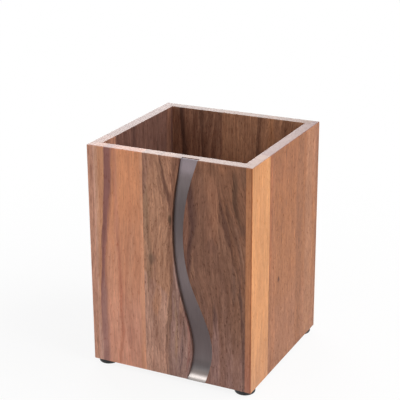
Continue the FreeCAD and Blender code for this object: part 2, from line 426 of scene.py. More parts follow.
def wash(tint, strength, points):
    """A change of ground colour up the stave, from (height, share) points."""
    return shade(*tint), strength, partial(wash_cover, points=points)


def band(tint, strength, left, right, soft=(2.0, 2.0), wander=1.0):
    """A streak between two lines of (height, place) points, with its edges' softness."""
    cover = partial(band_cover, left=left, right=right, soft=soft, wander=wander)
    return shade(*tint), strength, cover


def streak(tint, strength, middle, soft=(2.0, 2.0), wander=1.0):
    """A streak from (height, middle, half width) points."""
    left = [(up, across - half) for up, across, half in middle]
    right = [(up, across + half) for up, across, half in middle]
    return band(tint, strength, left, right, soft, wander)


def patch(tint, strength, centre, size, ragged=0.5):
    """A soft blot: its centre and its half sizes across and along."""
    cover = partial(patch_cover, centre=centre, size=size, ragged=ragged)
    return shade(*tint), strength, cover


def wash_cover(space, points):
    """How much of a wash a point shows, 0 to 1."""
    return space.share.path(points, 0.0, 1.0)


def band_cover(space, left, right, soft, wander):
    """How much of a streak a point shows, 0 to 1."""
    spot = space.across + space.wander * wander + space.ragged
    into = spot - space.share.path(left)
    short = space.share.path(right) - spot
    return into.fit(-soft[0] / 2, soft[0] / 2) * short.fit(-soft[1] / 2, soft[1] / 2)


def patch_cover(space, centre, size, ragged):
    """How much of a blot a point shows, 0 to 1."""
    across = (space.across - centre[0]) / size[0]
    up = (space.along - centre[1]) / size[1]
    return (space.graph.hypot(across, up) + space.fray * ragged).fit(*PATCH_FADE)


# What each stave's and board's wood looks like, in millimetres and screen colours.
WOODS = {}
WOODS["front_stave_left"] = Wood(
    seed=3.1, length=0.8, rings=0.34, fibre=0.42, fleck=0.3, curl=0.4, rim=(1, 0.96, 0.97),
    vessels=(0.76, 0.58, 0.5),
    flow=[
        [(0, -53.6), (45, -53.8), (80, -52.4), (115, -50.6), (150, -48), (167, -47.4)],
        [(0, -24), (50, -24.6), (95, -23.4), (167, -24)]],
    figure=[
        wash((220, 150, 109), 0.9, [(0, 0), (90, 0.1), (130, 0.8), (166, 1)]),
        wash((221, 161, 138), 0.9, [(0, 1), (40, 0.8), (80, 0.1), (166, 0)]),
        band((214, 166, 146), 0.9, [(0, -66), (166, -66)], [(0, -57), (60, -57), (100, -56), (166, -55)],
            (1, 2)),
        band((203, 150, 118), 0.6, [(70, -58), (110, -57.5), (166, -57.8)], [(60, -56), (80, -54.5),
            (110, -52), (166, -49)]),
        streak((147, 99, 94), 0.95, [(0, -53.5, 2.9), (20, -53.7, 2.9), (45, -53.6, 2.4),
            (80, -52.6, 1.8), (100, -51.4, 2), (120, -49.4, 2.6), (135, -48, 2.9), (167, -46.9, 3.3)],
            (1.8, 4), 0.8),
        streak((176, 130, 120), 0.8, [(0, -53.6, 3.2), (25, -53.7, 3), (50, -53.4, 1.8),
            (75, -52.6, 0.1)], (2, 3), 0.8),
        streak((228, 168, 140), 0.5, [(56, -48.6, 0.4), (70, -48.2, 1.6), (88, -47.6, 1.4),
            (100, -46.6, 0.3)], (2, 2), 0.8),
        streak((229, 169, 137), 0.5, [(50, -32, 0.4), (62, -31.6, 1.8), (74, -31, 1), (90, -29.4, 1.4),
            (102, -28.6, 1.4), (112, -28, 0.3)], (2.4, 2.4), 1.2),
        streak((231, 168, 134), 0.75, [(0, -21, 1.8), (60, -21, 1.6), (90, -20.7, 1.2), (166, -20.4, 1)],
            (1.6, 0.6), 0.3),
        streak((228, 182, 164), 0.6, [(0, -58.4, 2.6), (16, -58.4, 2.4), (30, -58.8, 0.4)], (2, 2), 0.6),
        streak((182, 113, 90), 0.25, [(0, -33, 1), (30, -31, 1.4), (60, -35, 1.2), (100, -31, 0.8),
            (166, -30, 0.6)], (2, 3), 2),
        streak((187, 118, 94), 0.75, [(0, -42, 1), (35, -38.6, 1.4), (70, -39.6, 1.6), (120, -41, 1.6),
            (166, -41, 1)], (2.4, 2.4), 2),
        streak((227, 165, 136), 0.4, [(0, -46, 1.6), (60, -44.6, 2.4), (110, -41, 1.6), (166, -40, 1.4)],
            (3, 3), 2),
        patch((178, 120, 102), 0.5, (-33, 25), (2.2, 9), 0.8),
        patch((182, 124, 106), 0.5, (-45, 18), (2, 9), 0.8),
    ])
WOODS["front_stave_right"] = Wood(
    seed=8.7, length=0.6, rings=0.42, fibre=0.92, pore=1, fleck=0.45, curl=0.8, rim=(1.14, 1.38, 1.5),
    flow=[
        [(0, -19), (167, -19)],
        [(0, -3), (60, -2), (100, -1), (121, 2.1), (138, 1.2), (167, -4.4)],
        [(0, 24), (60, 23), (90, 15), (120, 17.5), (142, 20), (167, 24.5)],
        [(0, 40), (60, 38.5), (90, 35), (115, 34), (167, 33)],
        [(0, 57.5), (58, 58), (85, 56.8), (110, 52.5), (133, 46.5), (153, 41), (167, 39)]],
    figure=[
        wash((156, 121, 114), 0.85, [(0, 1), (30, 0.8), (60, 0), (166, 0)]),
        wash((150, 103, 77), 0.6, [(0, 0), (105, 0), (135, 0.8), (166, 1)]),
        wash((130, 94, 78), 0.7, [(20, 0), (45, 0.8), (70, 0.4), (100, 0)]),
        band((187, 138, 110), 0.95, [(0, -23), (166, -23)], [(0, -1.5), (30, -1), (60, 0.6), (85, 1.5),
            (110, 2.5), (130, 2), (166, 4)], (1, 3)),
        band((198, 153, 134), 0.85, [(0, -23), (60, -23), (74, -23)], [(0, -0.8), (30, -2), (60, -1),
            (74, -14)], (1, 4)),
        band((160, 122, 98), 0.85, [(70, -17.6), (80, -17.6), (100, -17.8), (112, -22), (140, -22),
            (150, -19)], [(60, -17), (78, -13.2), (90, -12.6), (105, -14.4), (120, -14.6), (140, -15.4),
            (150, -19)], (1, 3)),
        streak((148, 108, 92), 0.8, [(136, -19.5, 0.6), (148, -17.5, 1.8), (158, -17, 2.4),
            (167, -17.2, 2.2)], (1.5, 2.5)),
        streak((164, 120, 100), 0.7, [(20, -8.6, 1.2), (35, -9.2, 2.2), (50, -11, 2.6), (66, -11.4, 2.2),
            (80, -11, 1.4)], (3, 3), 1.4),
        band((178, 128, 102), 0.65, [(132, 1.6), (152, -1.6), (166, -4.6)], [(132, 3), (152, 4.2),
            (166, 4.8)], (1.5, 2.2), 0.8),
        streak((142, 102, 82), 0.5, [(124, -0.5, 0.6), (136, -3.2, 1.6), (148, -6, 1.6), (160, -8, 0.8)],
            (3, 3)),
        streak((112, 75, 61), 0.9, [(122, 1.8, 0.6), (130, 1.2, 1.2), (136, 0.5, 1.8), (142, -1, 1.6),
            (150, -3.3, 1.3), (158, -4.8, 1.1), (167, -6.1, 1)], (2.2, 1.6), 0.8),
        streak((104, 66, 54), 0.6, [(154, 5, 0.1), (158, 5.6, 0.4), (162, 6.4, 0.8), (167, 7, 0.7)],
            (1.2, 1.2), 0.6),
        streak((98, 62, 52), 0.8, [(156, 7.6, 0.1), (159, 8.2, 0.7), (163, 9, 1.2), (167, 9.6, 1.5)],
            (1.2, 1.2), 0.6),
        streak((140, 98, 78), 0.8, [(64, 1.6, 0.3), (76, 1.2, 1.2), (92, 0.8, 1.3), (104, 0.4, 1.2),
            (116, 1.2, 1.2)], (1.8, 2.4), 0.9),
        streak((139, 106, 93), 0.35, [(0, -0.4, 2), (20, -0.6, 2.2), (40, 0.2, 1.6), (55, 1, 1),
            (72, 1.6, 0.5)], (1.2, 4), 0.8),
        streak((112, 84, 73), 0.6, [(22, -2.6, 0.1), (30, -2.2, 0.4), (41, -1.6, 0.4), (56, -0.2, 0.35),
            (71, 1.2, 0.2)], (0.8, 1.2), 0.4),
        streak((166, 126, 108), 0.6, [(22, -6, 0.5), (34, -6.2, 1.6), (48, -6.6, 1.3), (60, -7, 0.5)]),
        streak((206, 160, 140), 0.6, [(0, -18.6, 1.3), (40, -18.5, 1.2), (62, -18.7, 0.2)],
            (0.6, 1.6), 0.4),
        streak((130, 108, 106), 0.85, [(0, 7, 7.5), (12, 8, 7), (23, 11, 2)], (4, 4)),
        streak((122, 92, 86), 0.4, [(34, 33, 1), (48, 30.5, 2.4), (62, 27, 2.2), (72, 24, 0.6)], (2, 3)),
        band((166, 131, 120), 0.85, [(0, 0.6), (30, 0.8), (50, 1.8), (70, 2.6)], [(0, 14), (30, 16),
            (50, 12.5), (60, 11), (72, 8.4)], (1, 3)),
        band((134, 92, 76), 0.7, [(84, 8), (110, 8), (150, 12)], [(84, 15), (100, 17), (125, 19),
            (140, 18.5), (152, 16)], (1, 4)),
        streak((96, 65, 57), 0.95, [(78, 14.6, 0.5), (91, 15.6, 1.7), (104, 17.2, 1.8), (114, 18.6, 1.7),
            (123, 19.8, 3.2), (138, 17.8, 3.3), (146, 18, 2), (154, 18.6, 0.3)], (3.4, 3.4), 1.4),
        streak((112, 78, 66), 0.6, [(62, 19.6, 0.5), (77, 20.4, 2), (88, 21.6, 1.8), (100, 21, 1.4),
            (110, 20.6, 1.4), (118, 21, 0.4)], (2.6, 3.4), 1.2),
        streak((150, 108, 84), 0.6, [(98, 25, 0.4), (108, 25.4, 1.4), (122, 27, 1.4), (131, 28.5, 0.4)]),
        streak((152, 110, 88), 0.55, [(74, 29.6, 0.6), (88, 32, 3.6), (97, 36, 4.6), (106, 40, 1.6)],
            (4, 4), 1.6),
        band((166, 116, 90), 0.8, [(98, 31), (112, 29), (130, 29), (148, 28.6), (157, 32)], [(98, 34),
            (112, 38), (130, 38.5), (148, 38), (157, 33)], (4, 4), 1.6),
        band((136, 96, 78), 0.6, [(30, 26), (60, 24), (96, 22)], [(30, 46), (60, 48), (96, 40)],
            (5, 6), 2),
        band((136, 92, 68), 0.55, [(88, 52), (108, 47), (130, 43), (146, 40.5), (158, 40), (167, 41)],
            [(88, 62), (167, 62)], (5, 1), 1.6),
        streak((96, 64, 52), 0.85, [(146, 39, 0.2), (138, 40.2, 0.9), (131, 41.4, 1.7), (122, 43.6, 2.2),
            (114, 45.6, 1.8), (107, 47.6, 0.9), (96, 50.4, 0.2)], (2, 2.6), 0.8),
        streak((100, 70, 56), 0.6, [(140, 44.6, 0.2), (132, 45.6, 0.6), (122, 47.8, 0.5),
            (112, 50.6, 0.2)], (1, 1.4), 0.8),
        streak((84, 60, 46), 0.75, [(162, 49.6, 0.3), (152, 50.6, 1.6), (142, 50.4, 1.6),
            (132, 52.2, 1.2), (123, 54.8, 0.5)], (2, 3.4)),
        streak((92, 64, 54), 0.4, [(137, 45, 0.4), (125, 48.9, 0.8), (112, 52.2, 1), (100, 55, 0.9),
            (88, 57.2, 0.5)], (1.4, 2), 0.8),
        streak((152, 114, 94), 0.6, [(142, 46.2, 0.2), (126, 50.6, 0.5), (112, 53.8, 0.5),
            (100, 56.4, 0.4), (92, 57.6, 0.2)], (0.8, 1), 0.6),
        streak((108, 77, 68), 0.75, [(0, 57.7, 0.8), (12, 57.7, 1.1), (25, 57.7, 0.9), (42, 57.5, 0.7),
            (60, 56.2, 0.6), (80, 55.2, 0.4)], (1.2, 0.8), 0.5),
        streak((160, 123, 109), 0.25, [(0, 46, 3.2), (40, 45, 3), (66, 43, 1)], (5, 5), 2),
        streak((160, 124, 116), 0.8, [(0, 35, 3.6), (20, 35.4, 3.4), (38, 37, 2.2), (54, 36.4, 0.4)],
            (3, 4), 1.6),
        streak((96, 68, 62), 0.85, [(42, 37, 0.2), (51, 36.2, 1), (62, 35.4, 0.3)], (1.6, 2), 0.8),
        streak((100, 72, 62), 0.6, [(62, 49.8, 0.3), (72, 50.4, 1.2), (86, 49.8, 1.2), (97, 48.8, 0.3)],
            (2, 2.4)),
        streak((92, 64, 54), 0.75, [(60, 55.8, 0.2), (70, 55, 0.8), (82, 53.6, 0.8), (94, 52, 0.2)],
            (1.4, 1.8), 0.6),
        streak((162, 126, 110), 0.5, [(0, 0.4, 1.6), (16, 0.2, 1.4), (26, -0.6, 0.3)], (2, 2), 0.8),
        streak((188, 142, 117), 0.6, [(86, -16.4, 0.3), (94, -16.6, 1.2), (104, -16.8, 0.8),
            (110, -17, 0.2)], (1.2, 1.6), 0.6),
        streak((138, 104, 82), 0.5, [(108, -16.6, 0.3), (118, -16.2, 1), (128, -16.4, 0.8),
            (136, -17, 0.2)], (1.6, 2), 0.8),
        streak((166, 125, 107), 0.5, [(36, -14.8, 0.3), (46, -15, 1.2), (56, -15, 1), (62, -15, 0.2)],
            (1.6, 2), 0.8),
        streak((136, 96, 74), 0.4, [(0, 52, 3), (40, 52, 3.6), (78, 53, 1)], (4, 3), 1.4),
        streak((106, 76, 66), 0.7, [(32, 12.8, 0.2), (38, 12.2, 0.8), (43, 11.6, 0.7), (48, 10.8, 0.1)],
            (1.4, 1.8), 0.7),
        streak((186, 132, 98), 0.5, [(46, -10.4, 0.4), (53, -10.2, 3.2), (60, -9.2, 3), (70, -9, 0.4)],
            (2.6, 2.6), 1.2),
        streak((114, 88, 86), 0.7, [(4, 8.2, 0.2), (12, 8.8, 0.9), (24, 10.2, 1), (34, 10.8, 0.2)],
            (1.8, 2.2), 0.8),
        streak((176, 138, 106), 0.5, [(12, 4.6, 0.2), (22, 5, 1), (44, 5.6, 1.1), (62, 4.6, 0.3)],
            (1.4, 1.6), 0.7),
        streak((178, 138, 126), 0.5, [(28, 2.4, 0.2), (36, 2.6, 0.7), (48, 3, 0.7), (58, 3.2, 0.2)],
            (1, 1.4), 0.6),
        streak((176, 120, 108), 0.5, [(6, 13.6, 0.3), (20, 15.4, 1), (38, 15.2, 0.9), (52, 12.4, 0.2)],
            (1.6, 1.2), 0.6),
        patch((110, 84, 71), 0.6, (-13.2, 89.5), (3.2, 5.5)),
        patch((76, 58, 44), 0.8, (1.6, 120.5), (1.5, 4.2), 0.6),
        patch((150, 116, 102), 0.5, (57.5, 5), (3, 6), 0.8),
        patch((136, 92, 72), 0.7, (2.4, 151), (1.6, 3.6), 0.8),
        patch((134, 98, 84), 0.6, (3.2, 70), (1.8, 5.5), 0.8),
        patch((120, 84, 70), 0.6, (33.5, 107), (5, 5.6), 0.9),
        patch((170, 118, 88), 0.5, (41.6, 162.5), (3.6, 4.2), 0.9),
        patch((104, 72, 60), 0.45, (56, 121), (3.4, 5), 0.9),
        patch((150, 110, 90), 0.6, (26.2, 70.5), (3, 4), 0.9),
        patch((186, 142, 122), 0.6, (9.6, 57), (1.8, 6), 0.8),
        patch((200, 153, 132), 0.5, (-10.6, 25.5), (2.2, 5), 0.8),
        patch((184, 136, 112), 0.5, (-13.4, 160), (2.4, 5), 0.9),
        patch((118, 84, 65), 0.5, (57, 158), (5, 8), 0.9),
        patch((120, 82, 62), 0.4, (33.5, 162), (5, 5), 0.9),
    ])
WOODS["right_stave_front"] = Wood(
    seed=5.4, axis="y", length=0.8, rings=0.18, fibre=0.4, pore=0.8, fleck=0.5, rim=(0.74, 0.9, 1.2),
    vessels=(0.72, 0.56, 0.44),
    flow=[[(0, -45), (60, -44.4), (120, -45.4), (167, -45)]],
    figure=[
        wash((200, 146, 109), 0.8, [(0, 1), (50, 0.2), (166, 0)]),
        wash((186, 128, 80), 0.7, [(0, 0), (140, 0), (158, 0.8), (166, 1)]),
        streak((192, 131, 83), 0.4, [(0, -40, 2), (60, -39, 2.4), (110, -52, 2.4), (166, -50, 2)],
            (4, 4), 2),
        streak((210, 149, 96), 0.5, [(60, -39, 1), (120, -37, 3), (166, -36, 4)], (4, 4), 2),
    ])
WOODS["right_stave_rear"] = Wood(
    seed=11.9, axis="y", rings=0.5, fibre=0.65, pore=1, fleck=1.2, rim=(0.74, 0.76, 0.93),
    vessels=(0.5, 0.38, 0.32),
    flow=[[(0, -16), (70, -15.4), (120, -17), (167, -15)], [(0, 30), (60, 29), (110, 27), (167, 29)]],
    figure=[
        wash((154, 107, 80), 0.8, [(0, 1), (50, 0.3), (166, 0)]),
        wash((157, 102, 64), 0.8, [(40, 0), (70, 0.8), (125, 1), (145, 0)]),
        wash((150, 95, 59), 0.8, [(100, 0), (140, 0.8), (166, 1)]),
        streak((161, 106, 73), 0.6, [(0, -24, 3), (60, -24, 4.5), (110, -25, 3)], (4, 4), 1.6),
        streak((146, 96, 65), 0.9, [(0, 26, 5), (60, 25, 6), (110, 24, 7), (150, 26, 6), (166, 27.5, 6)],
            (4, 4), 1.6),
        streak((163, 113, 82), 0.9, [(0, 44, 6), (60, 44, 7), (110, 43, 7), (166, 43, 6.5)], (4, 4), 1.6),
        streak((133, 86, 60), 0.5, [(84, -28.6, 0.6), (110, -28, 1.6), (166, -26.6, 3.4)], (2, 3), 1.2),
        streak((158, 96, 60), 0.75, [(72, -29.8, 0.3), (84, -29.4, 1.6), (120, -29.2, 2.2),
            (166, -29.2, 2.6)], (1.6, 3), 0.6),
        streak((170, 120, 93), 0.6, [(116, 53, 0.6), (138, 53.6, 3), (166, 53.6, 3.6)], (3, 3)),
        streak((143, 98, 73), 0.6, [(0, 59.5, 2), (80, 59, 2.4), (166, 58.5, 3)]),
        # Painted highlight: a golden line down the rear upright edge.
        band((212, 160, 108), 0.7, [(0, 60.6), (166, 60.6)], [(0, 66), (166, 66)], (1, 1), 0.2),
        patch((92, 46, 22), 1, (-13.9, 69), (1.6, 2.8), 0.3),
        patch((105, 64, 46), 0.6, (-3.2, 160.5), (1.6, 3), 0.9),
        patch((109, 70, 52), 0.5, (-1.8, 123), (1.4, 3.2), 0.9),
    ])
WOODS["back_stave_right"] = Wood(
    seed=15.2, rim=(0.58, 0.5, 0.37),
    flow=[[(0, 2), (70, 3), (167, 0)], [(0, 36), (60, 40), (120, 33), (167, 37)]],
    figure=[
        wash((182, 132, 100), 0.5, [(0, 0.8), (80, 0.1), (166, 0.2)]),
        streak((120, 84, 66), 0.8, [(0, 18, 2.2), (50, 19.5, 2.8), (100, 17, 2.2), (166, 19, 1.6)],
            (1.4, 3.4), 1.4),
        streak((136, 94, 72), 0.6, [(0, 40, 1.2), (60, 43, 2), (120, 38, 2.8), (166, 40, 1.6)],
            (2, 3), 1.6),
        streak((196, 140, 100), 0.5, [(0, 30, 3), (80, 30, 3.4), (166, 28, 3)], (3, 3), 1.6),
        patch((104, 72, 58), 0.7, (6, 118), (1.4, 3.2), 0.8),
    ])
WOODS["back_stave_left"] = Wood(
    seed=19.6, rings=1, fibre=1.1, pore=1, rim=(0.54, 0.48, 0.42),
    flow=[[(0, -50), (80, -46), (167, -50)], [(0, -20), (90, -24), (167, -19)]],
    figure=[
        wash((154, 112, 88), 0.5, [(0, 0.9), (70, 0.2), (166, 0)]),
        streak((92, 64, 54), 0.85, [(0, -46, 2.6), (60, -43, 3.4), (120, -44, 2.4), (166, -47, 1.8)],
            (1.6, 3.6), 1.6),
        streak((100, 70, 58), 0.6, [(0, -30, 1.4), (80, -27, 1.8), (166, -30, 1.4)], (1.6, 2.4), 1.6),
    ])
WOODS["left_stave_rear"] = Wood(
    seed=23.3, axis="y",
    flow=[[(0, -20), (80, -18), (167, -21)], [(0, 40), (90, 37), (167, 41)]],
    figure=[
        wash((128, 90, 74), 0.5, [(0, 1), (80, 0.2), (166, 0)]),
        streak((84, 58, 52), 0.8, [(0, -8, 3), (70, -6, 3.6), (166, -9, 2.6)], (2, 4), 1.6),
        streak((88, 62, 54), 0.6, [(0, 28, 2), (90, 25, 2.8), (166, 29, 2)], (2, 3), 1.6),
        streak((150, 106, 84), 0.5, [(0, 46, 3), (80, 44, 4), (166, 47, 3)], (3, 3), 1.6),
    ])
WOODS["left_stave_front"] = Wood(
    seed=27.8, axis="y", rings=0.5, fibre=0.9, pore=0.6, fleck=0.4,
    flow=[[(0, -48), (90, -47), (167, -48)]],
    figure=[
        wash((206, 156, 134), 0.5, [(0, 0.8), (80, 0.2), (166, 0)]),
        # Painted shade: the wall made darker behind its front end, for the shade inside the box.
        band((160, 116, 96), 0.9, [(0, -57), (80, -56.6), (166, -57)], [(0, -30), (166, -30)], (2.4, 1)),
        streak((130, 92, 76), 0.6, [(0, -47, 1.4), (80, -45, 2), (166, -47, 1.4)], (1.6, 2.6), 1.2),
    ])
WOODS["floor_board_front"] = Wood(
    seed=31.5, axis="floor",
    flow=[[(0, -28), (80, -26), (167, -29)]],
    figure=[
        streak((126, 88, 68), 0.7, [(0, -34, 2), (80, -31, 2.8), (166, -35, 2)], (2, 3), 1.6),
    ])
WOODS["floor_board_rear"] = Wood(
    seed=36.1, axis="floor", rings=0.9, pore=1,
    flow=[[(0, 28), (80, 30), (167, 27)]],
    figure=[
        streak((104, 72, 58), 0.7, [(0, 34, 2.4), (80, 37, 3), (166, 33, 2.2)], (2, 3), 1.6),
    ])

# Slow and quick noise that moves lines off their course: scale across and along the grain. How
# far it moves a streak's edges and the grain, and how the grain leans into the depth.
WANDER_SCALE = (0.09, 0.026)
FRAY_SCALE = (0.45, 0.11)
STREAK_FRAY = 0.9
STREAK_FEATHER = 2.2
FLOW_SWAY = 1.6
FLOW_LEAN = 0.25
PATCH_FADE = (1.25, 0.35)      # where a blot starts and is full, in half sizes from its centre

# The wood's textures: noise scale across and along, seed, detail and roughness, the strength in
# Wood that it takes, and for its dark and its light side the noise span, share and tint.
TEXTURES = {
    "clouds": ((0.11, 0.016, 7.0, 3.0, 0.6), "clouds", [
        (0.50, 0.66, 0.28, (0.66, 0.62, 0.60)), (0.50, 0.34, 0.25, (1.42, 1.38, 1.32))]),
    "rings": ((0.36, 0.018, 0.0, 4.0, 0.7), "rings", [
        (0.50, 0.66, 0.46, (0.58, 0.46, 0.41)), (0.50, 0.34, 0.42, (1.50, 1.50, 1.47))]),
    "grain": ((0.85, 0.035, 9.0, 3.0, 0.65), "fibre", [
        (0.50, 0.64, 0.46, (0.60, 0.47, 0.42)), (0.50, 0.36, 0.44, (1.53, 1.54, 1.51))]),
    "fibres": ((2.1, 0.13, 2.0, 2.0, 0.6), "fibre", [
        (0.50, 0.66, 0.38, (0.64, 0.53, 0.47)), (0.50, 0.34, 0.36, (1.43, 1.44, 1.42))]),
    "mottle": ((0.60, 0.16, 3.0, 3.0, 0.6), "fleck", [
        (0.46, 0.66, 0.30, (0.60, 0.48, 0.43)), (0.50, 0.34, 0.30, (1.32, 1.32, 1.30))]),
}
PORES = (1.10, 0.30, 5.0, 2.0, 0.6)
PORE_SPAN = (0.59, 0.68)
PORE_STRENGTH = 0.62

# The sawn ends on the rim: their tone and its share, how far upward a face looks that counts as
# the rim, and the tints of the pores seen end on and of the far corner, which gets painted shade towards
# the back.
END_TONE = shade(150, 115, 106)
END_SHARE = 0.70
UPWARD = (0.35, 0.85)
END_PORES = (0.52, 0.44, 0.42)
FAR_RIM_PAINTED_SHADE = (0.72, 0.68, 0.75)
FAR_RIMS = ("right_stave_rear", "back_stave_right")

# Tints of the wood: a painted highlight on the groove's arris, painted shade on its walls, the lip darker
# with a darker line at its outer edge, and paler edges, partly wear and partly painted highlight; and how
# far in from an edge the paling starts and is full.
ARRIS_PAINTED_HIGHLIGHT = (1.10, 1.16, 1.22)
GROOVE_WALL_PAINTED_SHADE = (0.38, 0.39, 0.42)
LIP_DARKER = (0.90, 0.84, 0.98)
LIP_DARKER_LOW = (0.90, 0.84, 0.96)
LIP_EDGE_DARKER = (0.66, 0.54, 0.46)
EDGE_WEAR_AND_HIGHLIGHT = (1.30, 1.24, 1.20)
EDGE_PALE_WIDTH = (1.0, 0.35)
EDGE_PALE_SHARE = 0.30

# Tints of the steel: painted reflection colour at its crown and at its toe, painted shade beside the
# groove's left wall and on its cut top.
STEEL_CROWN_REFLECTION_TINT = (1.02, 0.97, 1.03)
STEEL_TOE_REFLECTION_TINT = (1.04, 0.99, 0.94)
STEEL_SHADE = (0.60, 0.60, 0.61)
STEEL_TOP_PAINTED_SHADE = (0.40, 0.41, 0.43)
DUST = (0.075, 0.073, 0.070)

# How matt each finish is at its smoothest, and the height of its relief in metres.
WOOD_ROUGHNESS = 0.46
RUBBER_ROUGHNESS = 0.45
ZINC_ROUGHNESS = 0.18
WOOD_RELIEF = 0.00012
STEEL_RELIEF = 0.00002
RUBBER_RELIEF = 0.00006


class WoodSpace:
    """Where a point lies in a stave's wood: across the grain, along it and into its depth."""

    def __init__(self, graph, wood):
        self.graph = graph
        self.wood = wood
        self.spot = x, y, z = graph.places()
        if wood.axis == "floor":
            self.across, self.depth, self.along = y, z, x + WALL_HEIGHT / 2
        else:
            self.across, self.depth = (x, y) if wood.axis == "x" else (y, x)
            self.along = z - WOOD_FOOT
        self.share = self.along / WALL_HEIGHT
        self.wander = self.drift(*WANDER_SCALE)
        self.fray = self.drift(*FRAY_SCALE)
        self.flow = self.grain_lines()
        self.textures = {name: self.texture(*made[0], wood.length)
                         for name, made in TEXTURES.items()}
        feather = self.textures["grain"] * 2.0 - 1.0
        self.ragged = self.fray * STREAK_FRAY + feather * STREAK_FEATHER

    def drift(self, across, along):
        """Slow noise from -1 to 1 that moves lines off their course."""
        place = (self.across * across, self.depth * across, self.along * along + self.wood.seed)
        return self.graph.noise(place) * 2.0 - 1.0

    def grain_lines(self):
        """Grain coordinate: constant along each flow line, even between them."""
        paths = [self.share.path(line) for line in self.wood.flow]
        homes = [sum(across for _, across in line) / len(line) for line in self.wood.flow]
        total = self.graph.least(self.across - paths[0], 0.0) + homes[0]
        total += self.graph.most(self.across - paths[-1], 0.0)
        for i in range(len(paths) - 1):
            gap = homes[i + 1] - homes[i]
            total += self.across.fit(paths[i], paths[i + 1], 0.0, gap, "LINEAR")
        return total + self.wander * FLOW_SWAY + self.fray * self.wood.curl + self.depth * FLOW_LEAN

    def texture(self, across, along, seed, detail, rough, stretch=1.0):
        """Noise drawn out along the grain."""
        place = (self.flow * across, self.depth * across + (self.wood.seed + seed),
                 self.along * (along / stretch))
        return self.graph.noise(place, detail, rough)


def end_grain(space, node, tone):
    """The sawn ends on the rim: greyer, with the pores seen end on, and painted shade towards the back on
    the far rims.
    """
    tone = space.graph.blend(END_SHARE, tone, END_TONE).tinted(space.wood.rim)
    if node in FAR_RIMS:
        tone = tone.tinted(FAR_RIM_PAINTED_SHADE, space.spot[1].fit(0.0, HALF_DEPTH))
    ends = space.graph.noise((space.across, space.depth, space.wood.seed), 2.0, 0.6, 1.9)
    return tone.tinted(END_PORES, ends.fit(0.55, 0.68) * 0.35)


def groove_painted_light(space, tone):
    """A painted highlight along the groove's left arris, and painted shade on the groove's walls."""
    inside = groove_edge(space.share) - space.spot[0]
    line = inside.fit(1.3, 0.5) * inside.fit(0.0, 0.25) * space.along.fit(128.0, 100.0)
    painted_wall_shade = abs(space.graph.facing()[0]).fit(0.55, 0.85) * space.along.fit(20.0, 55.0, 0.5, 1.0)
    return tone.tinted(ARRIS_PAINTED_HIGHLIGHT, line).tinted(GROOVE_WALL_PAINTED_SHADE, painted_wall_shade)


def lip_marks(space, tone):
    """The narrow lip on the front: darker, more so low down, with a darker line along its outer edge."""
    lip = space.graph.facing()[1].fit(-0.45, -0.85)
    dark_edge = space.spot[0].fit(HALF_WIDTH - 1.5, HALF_WIDTH - 0.6) * 0.8
    tone = tone.tinted(LIP_DARKER, lip).tinted(LIP_DARKER_LOW, lip * space.along.fit(60.0, 10.0))
    return tone.tinted(LIP_EDGE_DARKER, lip * dark_edge)


def pale_edges_wear_and_highlight(space, tone):
    """Paler wood along the caddy's outside edges and its rim, over the last millimetre: partly wear,
    partly a painted highlight of the eased edges.
    """
    graph = space.graph
    x, y, z = space.spot
    side = HALF_WIDTH - abs(x)
    face = HALF_DEPTH - abs(y)
    rim = graph.most(graph.least(side, face), graph.least(BOX_HIGH.z - z, z - WOOD_FOOT))
    edge = graph.least(graph.most(side, face), rim)
    return tone.tinted(EDGE_WEAR_AND_HIGHLIGHT, edge.fit(*EDGE_PALE_WIDTH) * EDGE_PALE_SHARE)


MARKS = {"front_stave_right": groove_painted_light, "right_stave_front": lip_marks}


def figured(space, tone):
    """The ground colour with the wood's washes, streaks and blots laid over it."""
    for tint, strength, cover in space.wood.figure:
        tone = space.graph.blend(cover(space) * strength, tone, tint)
    return tone


def grained(space, tone, contrast):
    """A colour with the growth rings, fibres and flecks in it."""
    for name, (_, kind, sides) in TEXTURES.items():
        for low, high, share, tint in sides:
            strength = share * getattr(space.wood, kind) * contrast
            tone = tone.tinted(tint, space.textures[name].fit(low, high) * strength)
    return tone


def wood_material(node):
    """Oiled hardwood for one stave or board, the same all through its thickness."""
    wood = WOODS[node]
    settings = settings_of("wood")
    graph = new_graph(node + "_wood")
    space = WoodSpace(graph, wood)
    plain = figured(space, getattr(settings, node))
    tone = grained(space, plain, settings.grain)
    pores = space.texture(*PORES).fit(*PORE_SPAN)
    tone = tone.tinted(wood.vessels, pores * (PORE_STRENGTH * wood.pore * settings.pores))
    upward = 0.0 if wood.axis == "floor" else graph.facing()[2].fit(*UPWARD)
    tone = graph.blend(upward * 0.8, tone, end_grain(space, node, plain))
    if node in MARKS:
        tone = MARKS[node](space, tone)
    rough = space.textures["rings"] * 0.14 + WOOD_ROUGHNESS + pores * 0.2 - upward * 0.2
    height = (space.textures["fibres"] * 0.35 - pores) * (1.0 - upward * 0.7)
    bump = (height, 0.35 * settings.relief, WOOD_RELIEF)
    shader = graph.surface(pale_edges_wear_and_highlight(space, tone), rough, specular=0.25, bump=bump)
    return graph.finish(shader)


# --- other finishes ---

def lighter(tone, share):
    """A colour made lighter or darker, held below white."""
    return [min(1.0, share * part) for part in tone]


